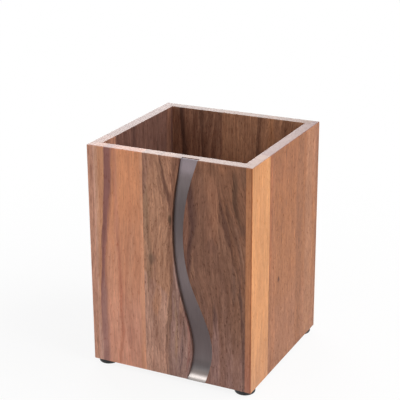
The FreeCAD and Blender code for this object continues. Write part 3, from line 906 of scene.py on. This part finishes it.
def steel_material():
    """Satin stainless steel, brushed along the strip, with a painted reflection along its height and
    painted shade beside the groove's left wall and on its top end.
    """
    settings = settings_of("finish")
    graph = new_graph("brushed_strip_steel")
    x, y, z = graph.places()
    lines = graph.noise((x * 5.0, y * 5.0, z * 0.10), 3.0, 0.6)
    cloud = graph.noise((x * 0.1, y, z * 0.03))
    tone = graph.blend(lines.fit(0.35, 0.65), lighter(settings.steel, 0.93),
                       lighter(settings.steel, 1.06))
    up = z - WOOD_FOOT
    share = up / WALL_HEIGHT
    # Painted reflection: the tone brightened and darkened along the strip's height.
    painted_reflection = share.path(STEEL_PAINTED_REFLECTION, 0.0, 3.0)
    tone = tone.tinted(graph.add("ShaderNodeCombineXYZ", (painted_reflection, painted_reflection, painted_reflection)))
    crown = up.fit(WALL_HEIGHT - 18.0, WALL_HEIGHT - 6.0)
    # Painted reflection colour at the crown and at the toe.
    tone = tone.tinted(STEEL_CROWN_REFLECTION_TINT, crown).tinted(STEEL_TOE_REFLECTION_TINT, up.fit(11.0, 6.0))
    # Painted shade beside the groove's left wall, then painted shade on the upward-facing top end.
    dusk = (x - groove_edge(share)).fit(2.8, 0.4) * up.fit(50.0, 25.0, 0.5, 0.65)
    tone = tone.tinted(STEEL_SHADE, dusk).tinted(STEEL_TOP_PAINTED_SHADE, graph.facing()[2].fit(*UPWARD))
    rough = lines * 0.10 + (settings.steel_roughness - 0.08) + cloud * 0.06 + crown * 0.22
    return graph.finish(graph.surface(tone, rough, 1.0, bump=(lines, 0.12, STEEL_RELIEF)))


def rubber_material():
    """Matt moulded rubber with a fine stipple and a little dust."""
    graph = new_graph("moulded_foot_rubber")
    spot = graph.places()
    stipple = graph.noise(spot, 2.0, 0.6, 3.2)
    dust = graph.noise(spot, 3.0, 0.6, 0.35).fit(0.5, 0.8, 0.0, 0.35)
    tone = graph.blend(dust, settings_of("finish").rubber, DUST)
    rough = stipple * 0.2 + RUBBER_ROUGHNESS
    bump = (stipple, 0.3, RUBBER_RELIEF)
    return graph.finish(graph.surface(tone, rough, specular=0.4, bump=bump))


def zinc_material():
    """Bright zinc plating with faint mottling."""
    zinc = settings_of("finish").zinc
    graph = new_graph("zinc_screw_plating")
    mottle = graph.noise(graph.places(), 3.0, 0.6, 1.4)
    tone = graph.blend(mottle.fit(0.35, 0.7), zinc, lighter(zinc, 0.82))
    return graph.finish(graph.surface(tone, mottle * 0.25 + ZINC_ROUGHNESS, 1.0))


# --- mesh helpers ---

def cubic_line(points):
    """A natural cubic spline through (height, place) points, as a function of height."""
    ups, places = np.array(points, float).T
    steps = np.diff(ups)
    system = np.eye(len(ups))
    turns = np.zeros(len(ups))
    turns[1:-1] = 6.0 * np.diff(np.diff(places) / steps)
    for i in range(1, len(steps)):
        system[i, i - 1:i + 2] = steps[i - 1], 2.0 * (steps[i - 1] + steps[i]), steps[i]
    bends = np.linalg.solve(system, turns)

    def at(up):
        """The place at a height."""
        i = min(max(int(np.searchsorted(ups, up)) - 1, 0), len(steps) - 1)
        a = (ups[i + 1] - up) / steps[i]
        b = 1.0 - a
        bent = (a ** 3 - a) * bends[i] + (b ** 3 - b) * bends[i + 1]
        return float(a * places[i] + b * places[i + 1] + bent * steps[i] ** 2 / 6.0)

    return at


wave_left = cubic_line([(share * WALL_HEIGHT, left) for share, left, _ in WAVE])
wave_right = cubic_line([(share * WALL_HEIGHT, right) for share, _, right in WAVE])
toe_line = cubic_line(TOE_BEND)


def quarter(x, y, radius, first, steps=ARC_STEPS):
    """Points round a quarter circle about (x, y), from the angle first in degrees."""
    turns = [math.radians(first + 90.0 * i / steps) for i in range(steps + 1)]
    return [(x + radius * math.cos(turn), y + radius * math.sin(turn)) for turn in turns]


def rectangle(x, y, up, centre=(0.0, 0.0)):
    """A rectangle's corners at a height, anticlockwise, from its half lengths."""
    return [(centre[0] + way_x * x, centre[1] + way_y * y, up)
            for way_x, way_y in ((-1, -1), (1, -1), (1, 1), (-1, 1))]


def loft(loops, shape=None):
    """A closed skin over loops of points that all run anticlockwise seen from above."""
    if shape is None:
        shape = bmesh.new()
    rows = [[shape.verts.new(point) for point in loop] for loop in loops]
    for lower, upper in zip(rows, rows[1:]):
        for i in range(len(lower)):
            shape.faces.new((lower[i - 1], lower[i], upper[i], upper[i - 1]))
    shape.faces.new(rows[-1])
    shape.faces.new(rows[0][::-1])
    bmesh.ops.remove_doubles(shape, verts=shape.verts, dist=WELD)
    bmesh.ops.dissolve_degenerate(shape, edges=shape.edges, dist=SLIVER)
    return shape


def lathe(profile, centre, segments):
    """A closed ring or solid turned from (radius, height) points about an upright axis."""
    shape = bmesh.new()
    turns = [2.0 * math.pi * i / segments for i in range(segments)]
    rows = []
    for radius, up in profile:
        spots = [(centre[0] + radius * math.cos(turn), centre[1] + radius * math.sin(turn), up)
                 for turn in (turns if radius else turns[:1])]
        rows.append([shape.verts.new(spot) for spot in spots])
    if profile[0][0]:
        rows.append(rows[0])
    for low, high in zip(rows, rows[1:]):
        for i in range(segments):
            corners = [low[i % len(low)], low[(i + 1) % len(low)],
                       high[(i + 1) % len(high)], high[i % len(high)]]
            unique = list(dict.fromkeys(corners))
            if len(unique) > 2:
                shape.faces.new(unique)
    bmesh.ops.recalc_face_normals(shape, faces=shape.faces)
    return shape


def add_object(name, data):
    """Puts a new object into the scene; a shape becomes its mesh and is used up."""
    if isinstance(data, bmesh.types.BMesh):
        mesh = bpy.data.meshes.new(name)
        data.to_mesh(mesh)
        data.free()
        data = mesh
    made = bpy.data.objects.new(name, data)
    bpy.context.scene.collection.objects.link(made)
    return made


def paint(item, material):
    """Gives a node's piece its finish."""
    item.data.materials.clear()
    item.data.materials.append(material)


def add_piece(node, ending, shape, material, place=Matrix.Identity(4), sharp=40.0):
    """Makes a shape in millimetres into a finished piece that stands for its node."""
    shape.transform(place)
    shape.transform(Matrix.Scale(MM, 4))
    piece = add_object(node + ending, shape)
    piece.data.shade_smooth()
    piece.data.set_sharp_from_angle(angle=math.radians(sharp))
    piece.modifiers.new("even_shading", "WEIGHTED_NORMAL").keep_sharp = True
    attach(piece, BODY)
    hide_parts(node)
    paint(piece, material)


# --- staves ---

class StaveShape:
    """Works out one stave's outline at any height, in its own frame: x along the wall seen
    from outside, y into the wood, z up from the wood's foot."""

    def __init__(self, node, wall, corner):
        low, high = node_box(node)
        starts = {"front": (low.x, low.y), "right": (high.x, low.y),
                  "back": (high.x, high.y), "left": (low.x, high.y)}
        self.start = Vector((*starts[wall], low.z))
        turn = Matrix.Rotation(math.radians(WALLS[wall][0]), 4, "Z")
        self.place = Matrix.Translation(self.start) @ turn
        size = high - low
        self.width = size.x if wall in ("front", "back") else size.y
        self.corner = corner
        self.grooved = node == "front_stave_right"
        settings = settings_of("shape")
        self.ease = settings.edge_ease / MM
        self.rim = settings.rim_ease / MM
        self.seam = settings.seam / MM

    def levels(self):
        """(height, inset of the eased faces, depth of the inner face) rows, foot to rim."""
        eased = [(self.ease - x, y) for x, y in quarter(0.0, 0.0, self.ease, 0.0)]
        rows = [(self.ease - drop, inset, LIP_THICK) for inset, drop in eased[::-1]]
        rows += [(self.ease + SUPPORT, 0.0, LIP_THICK), (BASE_THICK, 0.0, LIP_THICK)]
        rise = WALL_HEIGHT - self.ease - SUPPORT - BASE_THICK
        count = int(rise / (WAVE_STEP if self.grooved else STAVE_STEP))
        rows += [(BASE_THICK + rise * i / count, 0.0, WALL_THICK) for i in range(count + 1)]
        for inset, drop in eased:
            up = WALL_HEIGHT - self.ease + drop
            rows.append((up, inset, WALL_THICK - self.rim_inset(up)))
        return rows

    def rim_inset(self, up):
        """How far the rim's inner edge is rounded back at a height."""
        into = max(0.0, up - (WALL_HEIGHT - self.rim))
        return self.rim - math.sqrt(max(0.0, self.rim ** 2 - into ** 2))

    def side(self, cornered, inset, inner):
        """Points from the inner face to the outside face round the x = 0 side."""
        lip = min(LIP_THICK, inner)
        seam = self.seam
        if not cornered:
            return [(0.0, inner), (0.0, lip), (0.0, inset + seam), (seam, inset),
                    (seam + SUPPORT, inset)]
        flat = self.ease + SUPPORT
        rabbet = [(WALL_THICK, inner), (WALL_THICK, lip), (inset, lip), (inset, flat)]
        edge = quarter(self.ease, self.ease, self.ease - inset, 180.0)
        return rabbet + edge + [(flat, inset)]

    def groove(self, up, inset):
        """The wavy groove's corners at a height, from left to right."""
        half = [(-GROOVE_EASE - SUPPORT, inset), (-GROOVE_EASE, inset), (0.0, inset + GROOVE_EASE),
                (0.0, GROOVE_DEPTH)]
        left = wave_left(up) - self.start.x
        right = wave_right(up) - self.start.x
        return [(left + x, y) for x, y in half] + [(right - x, y) for x, y in half[::-1]]

    def loop(self, up, inset, inner):
        """The outline at one height, anticlockwise seen from above."""
        outline = self.side(self.corner == "start", inset, inner)
        if self.grooved:
            outline += self.groove(up, inset)
        end = self.side(self.corner == "end", inset, inner)
        outline += [(self.width - x, y) for x, y in end[::-1]]
        return [(x, y, up) for x, y in outline]


def build_wall(wall):
    """One wall's staves: eased, rabbeted, and grooved where the strip lies."""
    for node, corner in WALLS[wall][1].items():
        form = StaveShape(node, wall, corner)
        skin = loft([form.loop(*row) for row in form.levels()])
        add_piece(node, "_oiled", skin, wood_material(node), form.place)


def build_floor_boards():
    """The two floor boards keep their own shape and get their wood."""
    for node in FLOOR_BOARDS:
        paint(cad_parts[node], wood_material(node))


# --- strip ---

def strip_front(up, toe):
    """How far behind the wall's face the strip's front lies at a height."""
    bed = GROOVE_DEPTH - STRIP_THICK
    if up < toe:
        return TOE_SETBACK + (bed - TOE_SETBACK) * toe_line(up / toe)
    lean = max(0.0, up - (WALL_HEIGHT - CROWN_HEIGHT)) / CROWN_HEIGHT
    return bed - (bed - CROWN_SETBACK) * lean ** CROWN_CURVE


def strip_loop(up, toe, radius):
    """The strip's section at a height, with rounded edges."""
    left = wave_left(up) + STRIP_FIT + radius
    right = wave_right(up) - STRIP_FIT - radius
    front = strip_front(up, toe) - HALF_DEPTH + radius
    back = front + STRIP_THICK - 2.0 * radius
    corners = [(left, front, 180.0), (right, front, 270.0), (right, back, 0.0), (left, back, 90.0)]
    return [(x, y, up + WOOD_FOOT) for middle_x, middle_y, first in corners
            for x, y in quarter(middle_x, middle_y, radius, first, STRIP_CORNER_STEPS)]


def build_strip():
    """The bent wavy strip."""
    settings = settings_of("shape")
    toe = settings.toe_height / MM
    ups = [WALL_HEIGHT * i / STRIP_ROWS for i in range(STRIP_ROWS + 1)]
    ups += [toe * i / TOE_ROWS for i in range(1, TOE_ROWS)]
    loops = [strip_loop(up, toe, settings.strip_round / MM)
             for up in sorted({round(up, 4) for up in ups})]
    add_piece("wave_strip", "_brushed", loft(loops), steel_material())


# --- feet and screws ---

def foot_centre(corner):
    """The middle of a foot, in millimetres."""
    low, high = node_box("foot_" + corner)
    return (low + high) / 2


def foot_profile(rings):
    """(radius, height) points round a foot's section."""
    flat_end = FOOT_RADIUS - FOOT_ROUND
    span = flat_end - RECESS_RADIUS - RING_MARGIN
    profile = [(RECESS_RADIUS, RECESS_MOUTH), (RECESS_RADIUS + RECESS_MOUTH, 0.0)]
    for ring in range(rings):
        middle = RECESS_RADIUS + RING_MARGIN + span * (ring + 0.5) / rings
        profile += [(middle + out, up) for out, up in RING_SECTION]
    profile += quarter(flat_end, FOOT_ROUND, FOOT_ROUND, -90.0, FOOT_ROUND_STEPS)
    profile += [(FOOT_RADIUS + out, up) for out, up in LIP_SECTION]
    ease = RECESS_FLOOR_EASE
    return profile + [(WEB_BORE, FOOT_HEIGHT), (WEB_BORE, RECESS_DEPTH),
                      (RECESS_RADIUS - ease, RECESS_DEPTH), (RECESS_RADIUS, RECESS_DEPTH - ease)]


def build_feet():
    """The four rubber feet."""
    rubber = rubber_material()
    profile = foot_profile(settings_of("shape").foot_rings)
    for corner in FEET:
        foot = lathe(profile, foot_centre(corner), FOOT_SEGMENTS)
        add_piece("foot_" + corner, "_moulded", foot, rubber, sharp=50.0)


def screw_profile():
    """(radius, height) points of a domed head and a threaded shank, its head down."""
    profile = []
    for turn in [math.pi / 2.0 * i / HEAD_STEPS for i in range(HEAD_STEPS + 1)]:
        profile.append((HEAD_RADIUS * math.sin(turn) ** HEAD_FULLNESS,
                        RECESS_DEPTH - HEAD_HEIGHT + DOME_HEIGHT * (1.0 - math.cos(turn))))
    profile += [(HEAD_RADIUS, RECESS_DEPTH - SEAT_EASE), (HEAD_RADIUS - SEAT_EASE, RECESS_DEPTH),
                (SHANK_RADIUS, RECESS_DEPTH), (SHANK_RADIUS, FOOT_HEIGHT)]
    for ring in range(math.ceil((THREAD_END - FOOT_HEIGHT) / THREAD_PITCH)):
        up = FOOT_HEIGHT + THREAD_PITCH * ring
        narrow = max(POINT_WIDTH, min(1.0, (SHANK_TOP - up) / POINT_LENGTH))
        profile += [(radius * narrow, up + rise) for radius, rise in THREAD_SECTION]
    return profile + [(0.0, SHANK_TOP)]


def cross_cutter(centre):
    """The tapered cross that a driver fits into."""
    shape = bmesh.new()
    face = RECESS_DEPTH - HEAD_HEIGHT
    for arm in (1, -1):
        rows = []
        for up, share in ((face - CROSS_CLEAR, 1.0), (face + CROSS_DEEP, CROSS_TAPER)):
            x, y = (CROSS_LONG * share, CROSS_WIDE)[::arm]
            rows.append(rectangle(x, y, up, centre))
        loft(rows, shape)
    return shape


def cut(blank, cutter):
    """The mesh of a blank with the cutter taken out of it. Both shapes are used up."""
    items = [add_object("blank", blank), add_object("cutter", cutter)]
    knife = items[0].modifiers.new("cut", "BOOLEAN")
    knife.operation = "DIFFERENCE"
    knife.solver = "EXACT"
    knife.use_self = True
    knife.object = items[1]
    bpy.context.view_layer.update()
    depsgraph = bpy.context.evaluated_depsgraph_get()
    done = bpy.data.meshes.new_from_object(items[0].evaluated_get(depsgraph))
    for item in items:
        bpy.data.meshes.remove(item.data)
    return done


def build_screws():
    """The four foot screws, as one piece."""
    whole = bmesh.new()
    for corner in FEET:
        centre = foot_centre(corner)
        screw = cut(lathe(screw_profile(), centre, SCREW_SEGMENTS), cross_cutter(centre))
        whole.from_mesh(screw)
        bpy.data.meshes.remove(screw)
    add_piece("foot_screws", "_plated", whole, zinc_material(), sharp=35.0)


# --- stage ---

# In metres: the camera's place and its axes, and each lamp's setting, place and size.
CAMERA_PLACE = (0.35845, -0.73544, 0.41509)
CAMERA_AXES = ((0.8972, 0.4416, -0.0060), (-0.14545, 0.30836, 0.94008),
               (0.41697, -0.84257, 0.34089))
CAMERA_LENS = 106.68
CAMERA_SENSOR = 36.0
LAMPS = [
    ("key_lamp", (1.05, 0.12, 1.05), (1.2, 1.2)),
    ("back_lamp", (-0.80, 1.02, 0.62), (1.0, 0.8)),
    ("fill_lamp", (-0.75, -1.35, 0.75), (0.7, 0.5)),
]
LAMP_TARGET = (0.0, 0.0, 0.085)
FLOOR_REACH = 6.0
FLOOR_GLOW = (110.0, 480.0, 0.88, 1.0)     # from and to in millimetres, and the shares of white
CARD_CORNERS = [(-1.3, -2.2, 0.002), (0.6, -2.2, 0.002), (0.25, -0.075, 0.002),
                (-0.45, -0.075, 0.002)]
CARD_TONE = (0.225, 0.178, 0.180, 1.0)
WHITE = (1.0, 1.0, 1.0, 1.0)


def add_lamp(name, place, size):
    """A soft lamp that points at the caddy, with the power of its setting."""
    light = bpy.data.lights.new(name, "AREA")
    light.energy = getattr(settings_of("finish"), name)
    light.shape = "RECTANGLE"
    light.size, light.size_y = size
    lamp = add_object(name, light)
    lamp.location = place
    way = Vector(LAMP_TARGET) - Vector(place)
    lamp.rotation_euler = way.to_track_quat("-Z", "Y").to_euler()
    lamp.visible_camera = False


def background_ray(graph):
    """1 for rays that look for the background: from the camera, off gloss or through glass."""
    seen = [graph.add("ShaderNodeLightPath", output=ray)
            for ray in ("Is Camera Ray", "Is Glossy Ray", "Is Transmission Ray")]
    return graph.most(graph.most(seen[0], seen[1]), seen[2])


def floor_material():
    """Pale floor: it takes the light and the shadow, and reads near white in view."""
    graph = new_graph("pale_floor")
    cloth = graph.surface(settings_of("finish").floor, 0.8, specular=0.1)
    glow = graph.add("ShaderNodeEmission", {"Color": WHITE, "Strength": 1.0})
    x, y, _ = graph.places()
    share = background_ray(graph) * graph.hypot(x, y).fit(*FLOOR_GLOW)
    return graph.finish(graph.add("ShaderNodeMixShader", (share, cloth, glow)))


def card_material():
    """Dark matt card."""
    graph = new_graph("dark_card")
    return graph.finish(graph.add("ShaderNodeBsdfDiffuse", {"Color": CARD_TONE}))


def build_world(sky):
    """Even light from all round, white where the background is seen."""
    graph = Graph(bpy.data.worlds.new("studio"))
    light = graph.add("ShaderNodeBackground", {"Color": WHITE, "Strength": sky})
    white = graph.add("ShaderNodeBackground", {"Color": WHITE, "Strength": 1.0})
    shader = graph.add("ShaderNodeMixShader", (background_ray(graph), light, white))
    bpy.context.scene.world = graph.finish(shader, "ShaderNodeOutputWorld")


def stage_sheet(name, corners, cuts, material):
    """A flat sheet of the stage, from four corners in metres."""
    shape = bmesh.new()
    shape.faces.new([shape.verts.new(corner) for corner in corners])
    bmesh.ops.subdivide_edges(shape, edges=shape.edges, cuts=cuts, use_grid_fill=True)
    sheet = add_object(name, shape)
    sheet.data.materials.append(material)
    return sheet


def build_card():
    """A dark card lying in front, seen only in reflections, so the metal reads satin grey."""
    card = stage_sheet("reflection_card", CARD_CORNERS, 2, card_material())
    card.visible_camera = False
    card.visible_diffuse = False
    card.visible_shadow = False
    card.visible_transmission = False


def build_camera():
    """The camera, with its axes as they are in the world."""
    data = bpy.data.cameras.new("camera")
    data.lens = CAMERA_LENS
    data.sensor_width = CAMERA_SENSOR
    data.clip_start = 0.01
    camera = add_object("camera", data)
    turn = Matrix(CAMERA_AXES).transposed().to_4x4()
    camera.matrix_world = Matrix.Translation(CAMERA_PLACE) @ turn
    bpy.context.scene.camera = camera


def build_stage():
    """Floor, lamps, background and camera."""
    bpy.context.scene.view_settings.view_transform = "Standard"
    build_world(settings_of("finish").sky)
    corners = rectangle(FLOOR_REACH, FLOOR_REACH, 0.0)
    stage_sheet("studio_floor", corners, 8, floor_material())
    build_card()
    for lamp in LAMPS:
        add_lamp(*lamp)
    build_camera()


# --- operators ---

class CADDY_OT_front_wall(bpy.types.Operator):
    """Build the front wall's two staves, with the wavy groove"""

    bl_idname = "caddy.front_wall"
    bl_label = "Front Wall"

    def execute(self, context):
        build_wall("front")
        return {"FINISHED"}


class CADDY_OT_right_wall(bpy.types.Operator):
    """Build the right wall's two staves"""

    bl_idname = "caddy.right_wall"
    bl_label = "Right Wall"

    def execute(self, context):
        build_wall("right")
        return {"FINISHED"}


class CADDY_OT_back_wall(bpy.types.Operator):
    """Build the back wall's two staves"""

    bl_idname = "caddy.back_wall"
    bl_label = "Back Wall"

    def execute(self, context):
        build_wall("back")
        return {"FINISHED"}


class CADDY_OT_left_wall(bpy.types.Operator):
    """Build the left wall's two staves"""

    bl_idname = "caddy.left_wall"
    bl_label = "Left Wall"

    def execute(self, context):
        build_wall("left")
        return {"FINISHED"}


class CADDY_OT_floor_boards(bpy.types.Operator):
    """Give the two floor boards their wood"""

    bl_idname = "caddy.floor_boards"
    bl_label = "Floor Boards"

    def execute(self, context):
        build_floor_boards()
        return {"FINISHED"}


class CADDY_OT_wave_strip(bpy.types.Operator):
    """Build the bent steel strip in its groove"""

    bl_idname = "caddy.wave_strip"
    bl_label = "Wave Strip"

    def execute(self, context):
        build_strip()
        return {"FINISHED"}


class CADDY_OT_rubber_feet(bpy.types.Operator):
    """Build the four moulded rubber feet"""

    bl_idname = "caddy.rubber_feet"
    bl_label = "Rubber Feet"

    def execute(self, context):
        build_feet()
        return {"FINISHED"}


class CADDY_OT_foot_screws(bpy.types.Operator):
    """Build the four foot screws"""

    bl_idname = "caddy.foot_screws"
    bl_label = "Foot Screws"

    def execute(self, context):
        build_screws()
        return {"FINISHED"}


class CADDY_OT_stage(bpy.types.Operator):
    """Set up the floor, the lamps, the background and the camera"""

    bl_idname = "caddy.stage"
    bl_label = "Stage"

    def execute(self, context):
        build_stage()
        return {"FINISHED"}


OPERATORS = (
    CADDY_OT_front_wall,
    CADDY_OT_right_wall,
    CADDY_OT_back_wall,
    CADDY_OT_left_wall,
    CADDY_OT_floor_boards,
    CADDY_OT_wave_strip,
    CADDY_OT_rubber_feet,
    CADDY_OT_foot_screws,
    CADDY_OT_stage,
)


class CADDY_PT_pieces(bpy.types.Panel):
    """Lists the caddy's pieces and settings"""

    bl_idname = "CADDY_PT_pieces"
    bl_label = "Cutlery Caddy"
    bl_space_type = "VIEW_3D"
    bl_region_type = "UI"
    bl_category = "Caddy"

    def draw(self, context):
        layout = self.layout
        for operator in OPERATORS:
            layout.operator(operator.bl_idname)
        for group in GROUPS:
            settings = getattr(context.scene, group)
            box = layout.box()
            for name in settings.__annotations__:
                box.prop(settings, name)


def register():
    """Adds the settings, the operators and the panel."""
    for name, group in GROUPS.items():
        bpy.utils.register_class(group)
        setattr(bpy.types.Scene, name, PointerProperty(type=group))
    for operator in OPERATORS:
        bpy.utils.register_class(operator)
    bpy.utils.register_class(CADDY_PT_pieces)


def unregister():
    """Takes away what register added."""
    bpy.utils.unregister_class(CADDY_PT_pieces)
    for operator in reversed(OPERATORS):
        bpy.utils.unregister_class(operator)
    for name, group in GROUPS.items():
        delattr(bpy.types.Scene, name)
        bpy.utils.unregister_class(group)


def main():
    """Builds every piece in order."""
    register()
    for operator in OPERATORS:
        family, call = operator.bl_idname.split(".")
        getattr(getattr(bpy.ops, family), call)()


if __name__ == "__main__":
    main()
